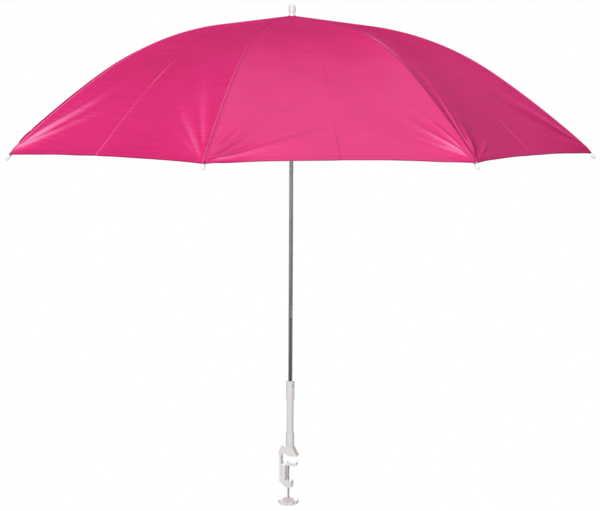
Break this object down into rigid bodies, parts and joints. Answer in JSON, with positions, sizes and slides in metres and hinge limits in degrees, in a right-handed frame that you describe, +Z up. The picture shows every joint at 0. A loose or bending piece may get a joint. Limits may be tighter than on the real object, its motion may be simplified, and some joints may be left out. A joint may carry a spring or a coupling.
{
  "type": "clamp-on pram parasol",
  "caption": "Clamp-on sun parasol: a domed, ribbed fabric canopy that folds down a slim steel shaft on a sliding runner, on a post held by a screw C-clamp for pram, chair or table edges.",
  "frame": {"origin": "on the post's axis, in the face of the clamp's upper jaw", "axes": "+Z up along the post and shaft; +X is the way the clamp opens; ribs every 45 degrees from +X"},
  "size_m": [1.0628, 1.0628, 0.9034],
  "materials": {
    "white_plastic": "moulded, satin",
    "grey_steel": "plated tube, satin bright",
    "rib_steel": "galvanised",
    "zinc_steel": "zinc plated",
    "spring_steel": "tempered, brownish",
    "pink_cloth": "woven polyester with a soft sheen"
  },
  "bodies": {
    "clamp": {"clamp_body": "white_plastic", "clamp_nut": "zinc_steel"},
    "jaw": {"moving_jaw": "white_plastic"},
    "screw": {"clamp_screw": "zinc_steel", "clamp_knob": "white_plastic", "jaw_clip": "zinc_steel"},
    "mast": {"post_tube": "white_plastic", "post_collar": "white_plastic", "collar_screw": "zinc_steel", "shaft": "grey_steel", "crown": "white_plastic", "crown_wire": "zinc_steel", "crown_pin": "zinc_steel", "finial": "white_plastic", "finial_washer": "zinc_steel"},
    "upper_spring": {"top_catch": "spring_steel"},
    "lower_spring": {"bottom_catch": "spring_steel"},
    "rib_1": {"rib_1": "rib_steel", "rib_tip_1": "white_plastic", "rib_rivet_1": "zinc_steel", "canopy_leaf_1": "pink_cloth"},
    "rib_2": {"rib_2": "rib_steel", "rib_tip_2": "white_plastic", "rib_rivet_2": "zinc_steel", "canopy_leaf_2": "pink_cloth"},
    "rib_3": {"rib_3": "rib_steel", "rib_tip_3": "white_plastic", "rib_rivet_3": "zinc_steel", "canopy_leaf_3": "pink_cloth"},
    "rib_4": {"rib_4": "rib_steel", "rib_tip_4": "white_plastic", "rib_rivet_4": "zinc_steel", "canopy_leaf_4": "pink_cloth"},
    "rib_5": {"rib_5": "rib_steel", "rib_tip_5": "white_plastic", "rib_rivet_5": "zinc_steel", "canopy_leaf_5": "pink_cloth"},
    "rib_6": {"rib_6": "rib_steel", "rib_tip_6": "white_plastic", "rib_rivet_6": "zinc_steel", "canopy_leaf_6": "pink_cloth"},
    "rib_7": {"rib_7": "rib_steel", "rib_tip_7": "white_plastic", "rib_rivet_7": "zinc_steel", "canopy_leaf_7": "pink_cloth"},
    "rib_8": {"rib_8": "rib_steel", "rib_tip_8": "white_plastic", "rib_rivet_8": "zinc_steel", "canopy_leaf_8": "pink_cloth"},
    "stretcher_1": {"stretcher_1": "rib_steel"},
    "stretcher_2": {"stretcher_2": "rib_steel"},
    "stretcher_3": {"stretcher_3": "rib_steel"},
    "stretcher_4": {"stretcher_4": "rib_steel"},
    "stretcher_5": {"stretcher_5": "rib_steel"},
    "stretcher_6": {"stretcher_6": "rib_steel"},
    "stretcher_7": {"stretcher_7": "rib_steel"},
    "stretcher_8": {"stretcher_8": "rib_steel"},
    "runner": {"runner": "white_plastic", "runner_wire": "zinc_steel"}
  },
  "joints": [
    {"name": "jaw_slide", "type": "slide", "parent": "clamp", "child": "jaw", "axis": [0, 0, 1], "range_m": [-0.0267, 0.0118]},
    {"name": "screw_turn", "type": "hinge", "parent": "jaw", "child": "screw", "pos_m": [-0.0025, 0, -0.0827], "axis": [0, 0, 1], "range_deg": [-13731.43, 6068.57]},
    {"name": "post_turn", "type": "hinge", "parent": "clamp", "child": "mast", "pos_m": [0, 0, 0.0357], "axis": [0, 0, 1], "continuous": true},
    {"name": "upper_spring_press", "type": "hinge", "parent": "mast", "child": "upper_spring", "pos_m": [0.00086, -0.00208, 0.60696], "axis": [-0.9239, -0.3827, 0], "range_deg": [0, 3.6], "stiffness_Nm_per_rad": 1.5, "springref_deg": -1.15},
    {"name": "lower_spring_press", "type": "hinge", "parent": "mast", "child": "lower_spring", "pos_m": [0.00086, -0.00208, 0.2895], "axis": [0.9239, 0.3827, 0], "range_deg": [0, 3.6], "stiffness_Nm_per_rad": 1.5, "springref_deg": -1.15},
    {"name": "canopy_fold", "type": "hinge", "parent": "mast", "child": "rib_1", "pos_m": [0.009, 0, 0.78697], "axis": [0, 1, 0], "range_deg": [0, 65], "deforming": ["canopy_leaf_1", "top_catch", "bottom_catch"]},
    {"name": "rib_2_fold", "type": "hinge", "parent": "mast", "child": "rib_2", "pos_m": [0.00636, 0.00636, 0.78697], "axis": [-0.7071, 0.7071, 0], "range_deg": [0, 65], "deforming": ["canopy_leaf_2"]},
    {"name": "rib_3_fold", "type": "hinge", "parent": "mast", "child": "rib_3", "pos_m": [0, 0.009, 0.78697], "axis": [-1, 0, 0], "range_deg": [0, 65], "deforming": ["canopy_leaf_3"]},
    {"name": "rib_4_fold", "type": "hinge", "parent": "mast", "child": "rib_4", "pos_m": [-0.00636, 0.00636, 0.78697], "axis": [-0.7071, -0.7071, 0], "range_deg": [0, 65], "deforming": ["canopy_leaf_4"]},
    {"name": "rib_5_fold", "type": "hinge", "parent": "mast", "child": "rib_5", "pos_m": [-0.009, 0, 0.78697], "axis": [0, -1, 0], "range_deg": [0, 65], "deforming": ["canopy_leaf_5"]},
    {"name": "rib_6_fold", "type": "hinge", "parent": "mast", "child": "rib_6", "pos_m": [-0.00636, -0.00636, 0.78697], "axis": [0.7071, -0.7071, 0], "range_deg": [0, 65], "deforming": ["canopy_leaf_6"]},
    {"name": "rib_7_fold", "type": "hinge", "parent": "mast", "child": "rib_7", "pos_m": [0, -0.009, 0.78697], "axis": [1, 0, 0], "range_deg": [0, 65], "deforming": ["canopy_leaf_7"]},
    {"name": "rib_8_fold", "type": "hinge", "parent": "mast", "child": "rib_8", "pos_m": [0.00636, -0.00636, 0.78697], "axis": [0.7071, 0.7071, 0], "range_deg": [0, 65], "deforming": ["canopy_leaf_8"]},
    {"name": "stretcher_1_pivot", "type": "hinge", "parent": "rib_1", "child": "stretcher_1", "pos_m": [0.26292, 0, 0.73567], "axis": [0, 1, 0], "range_deg": [-130, 0]},
    {"name": "stretcher_2_pivot", "type": "hinge", "parent": "rib_2", "child": "stretcher_2", "pos_m": [0.18591, 0.18591, 0.73567], "axis": [-0.7071, 0.7071, 0], "range_deg": [-130, 0]},
    {"name": "stretcher_3_pivot", "type": "hinge", "parent": "rib_3", "child": "stretcher_3", "pos_m": [0, 0.26292, 0.73567], "axis": [-1, 0, 0], "range_deg": [-130, 0]},
    {"name": "stretcher_4_pivot", "type": "hinge", "parent": "rib_4", "child": "stretcher_4", "pos_m": [-0.18591, 0.18591, 0.73567], "axis": [-0.7071, -0.7071, 0], "range_deg": [-130, 0]},
    {"name": "stretcher_5_pivot", "type": "hinge", "parent": "rib_5", "child": "stretcher_5", "pos_m": [-0.26292, 0, 0.73567], "axis": [0, -1, 0], "range_deg": [-130, 0]},
    {"name": "stretcher_6_pivot", "type": "hinge", "parent": "rib_6", "child": "stretcher_6", "pos_m": [-0.18591, -0.18591, 0.73567], "axis": [0.7071, -0.7071, 0], "range_deg": [-130, 0]},
    {"name": "stretcher_7_pivot", "type": "hinge", "parent": "rib_7", "child": "stretcher_7", "pos_m": [0, -0.26292, 0.73567], "axis": [1, 0, 0], "range_deg": [-130, 0]},
    {"name": "stretcher_8_pivot", "type": "hinge", "parent": "rib_8", "child": "stretcher_8", "pos_m": [0.18591, -0.18591, 0.73567], "axis": [0.7071, 0.7071, 0], "range_deg": [-130, 0]},
    {"name": "runner_pivot", "type": "hinge", "parent": "stretcher_1", "child": "runner", "pos_m": [0.009, 0, 0.68436], "axis": [0, 1, 0], "range_deg": [0, 65]}
  ],
  "couplings": [
    {"joint": "screw_turn", "follows": "jaw_slide", "rad_per_m": 8976},
    {"joint": "rib_2_fold", "follows": "canopy_fold", "ratio": 1},
    {"joint": "rib_3_fold", "follows": "canopy_fold", "ratio": 1},
    {"joint": "rib_4_fold", "follows": "canopy_fold", "ratio": 1},
    {"joint": "rib_5_fold", "follows": "canopy_fold", "ratio": 1},
    {"joint": "rib_6_fold", "follows": "canopy_fold", "ratio": 1},
    {"joint": "rib_7_fold", "follows": "canopy_fold", "ratio": 1},
    {"joint": "rib_8_fold", "follows": "canopy_fold", "ratio": 1},
    {"joint": "stretcher_1_pivot", "follows": "canopy_fold", "ratio": -2},
    {"joint": "stretcher_2_pivot", "follows": "canopy_fold", "ratio": -2},
    {"joint": "stretcher_3_pivot", "follows": "canopy_fold", "ratio": -2},
    {"joint": "stretcher_4_pivot", "follows": "canopy_fold", "ratio": -2},
    {"joint": "stretcher_5_pivot", "follows": "canopy_fold", "ratio": -2},
    {"joint": "stretcher_6_pivot", "follows": "canopy_fold", "ratio": -2},
    {"joint": "stretcher_7_pivot", "follows": "canopy_fold", "ratio": -2},
    {"joint": "stretcher_8_pivot", "follows": "canopy_fold", "ratio": -2},
    {"joint": "runner_pivot", "follows": "canopy_fold", "ratio": 1}
  ]
}
